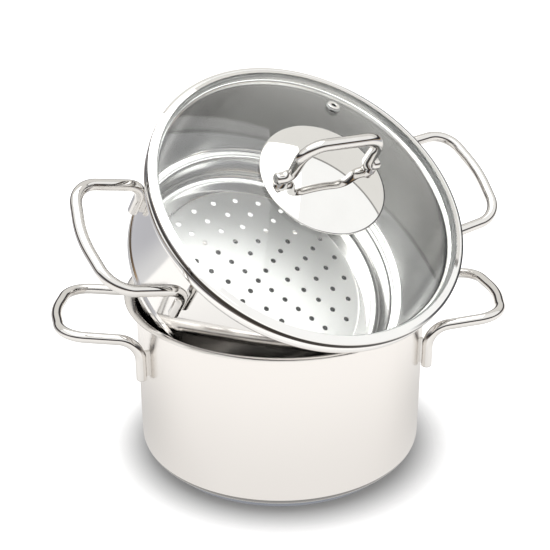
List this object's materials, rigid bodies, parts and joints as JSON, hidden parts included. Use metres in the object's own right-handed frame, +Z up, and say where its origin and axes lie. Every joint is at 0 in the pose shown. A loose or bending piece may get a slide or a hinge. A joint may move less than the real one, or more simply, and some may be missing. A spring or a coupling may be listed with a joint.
{
  "type": "steamer pot",
  "caption": "Two-handled stainless pot with a flared rim, a perforated steaming basket leaning in its mouth, and a domed glass lid with a steel band, plate and rod handle.",
  "frame": {"origin": "centre of the pot's underside, on the surface that it stands on", "axes": "+Z up along the pot's axis, X through the pot's two handles, -Y to the front, the side the basket leans over"},
  "size_m": [0.3196, 0.232, 0.2638],
  "materials": {
    "satin_steel": "fine satin outside, brushed inside",
    "basket_steel": "polished outside, brushed inside",
    "aluminium_core": "plain, hidden",
    "base_steel": "satin",
    "clear_glass": "clear, tempered",
    "seal_rubber": "translucent silicone",
    "mirror_steel": "mirror polished",
    "polished_steel": "mirror polished"
  },
  "bodies": {
    "pot": {"pot_floor": "satin_steel", "pot_wall": "satin_steel", "pot_rim": "satin_steel", "pot_base_core": "aluminium_core", "pot_base_cap": "base_steel", "pot_handle_right": "polished_steel", "pot_handle_left": "polished_steel", "pot_pad_right_a": "polished_steel", "pot_pad_right_b": "polished_steel", "pot_pad_left_a": "polished_steel", "pot_pad_left_b": "polished_steel"},
    "steamer": {"steamer_floor": "basket_steel", "steamer_neck": "basket_steel", "steamer_wall": "basket_steel", "steamer_rim": "basket_steel", "steamer_handle_right": "polished_steel", "steamer_handle_left": "polished_steel", "steamer_pad_right_a": "polished_steel", "steamer_pad_right_b": "polished_steel", "steamer_pad_left_a": "polished_steel", "steamer_pad_left_b": "polished_steel"},
    "lid": {"lid_glass": "clear_glass", "lid_rim": "mirror_steel", "lid_rim_seal": "seal_rubber", "lid_plate_seal": "seal_rubber", "lid_plate": "mirror_steel", "lid_handle": "polished_steel", "lid_spacer_right": "polished_steel", "lid_spacer_left": "polished_steel", "lid_bush_right": "seal_rubber", "lid_bush_left": "seal_rubber", "lid_screw_right": "polished_steel", "lid_screw_left": "polished_steel", "vent_eyelet": "polished_steel", "vent_seal": "seal_rubber"}
  },
  "joints": [
    {"name": "basket_lift", "type": "slide", "parent": "pot", "child": "steamer", "axis": [0, 0, 1], "range_m": [0, 0.09]},
    {"name": "lid_lift", "type": "slide", "parent": "steamer", "child": "lid", "axis": [0.3027, -0.5201, 0.7986], "range_m": [0, 0.08]}
  ]
}
